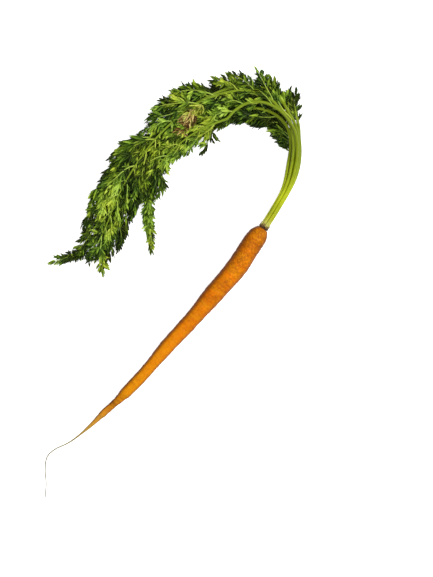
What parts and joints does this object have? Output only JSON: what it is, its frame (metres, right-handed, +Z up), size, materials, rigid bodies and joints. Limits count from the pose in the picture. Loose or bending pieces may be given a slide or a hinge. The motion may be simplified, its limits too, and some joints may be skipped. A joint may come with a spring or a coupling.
{
  "type": "carrot",
  "caption": "Slim fresh carrot lying on its side, its root tapering into a long hair, with its dark crown and its feathery leaves curved over and down.",
  "frame": {"origin": "the middle of the part's box in plan, on the surface that it lies on", "axes": "+Z up from the surface; +Y runs from the root's hair towards the bend of the leaves, along the box's longest side; +X to the right, with the leaves curling over to the left"},
  "size_m": [0.2196, 0.3598, 0.0214],
  "materials": {
    "skin": "matte orange skin with fine cross wrinkles and small dark spots",
    "crown": "rough dark brown",
    "greens": "satin leaf green, paler on the stalks"
  },
  "bodies": {
    "root": {"root": "skin", "crown": "crown", "leaf_1": "greens", "leaf_2": "greens", "leaf_3": "greens", "leaf_4": "greens", "leaf_5": "greens", "leaf_6": "greens", "leaf_7": "greens", "leaf_8": "greens"}
  },
  "joints": []
}
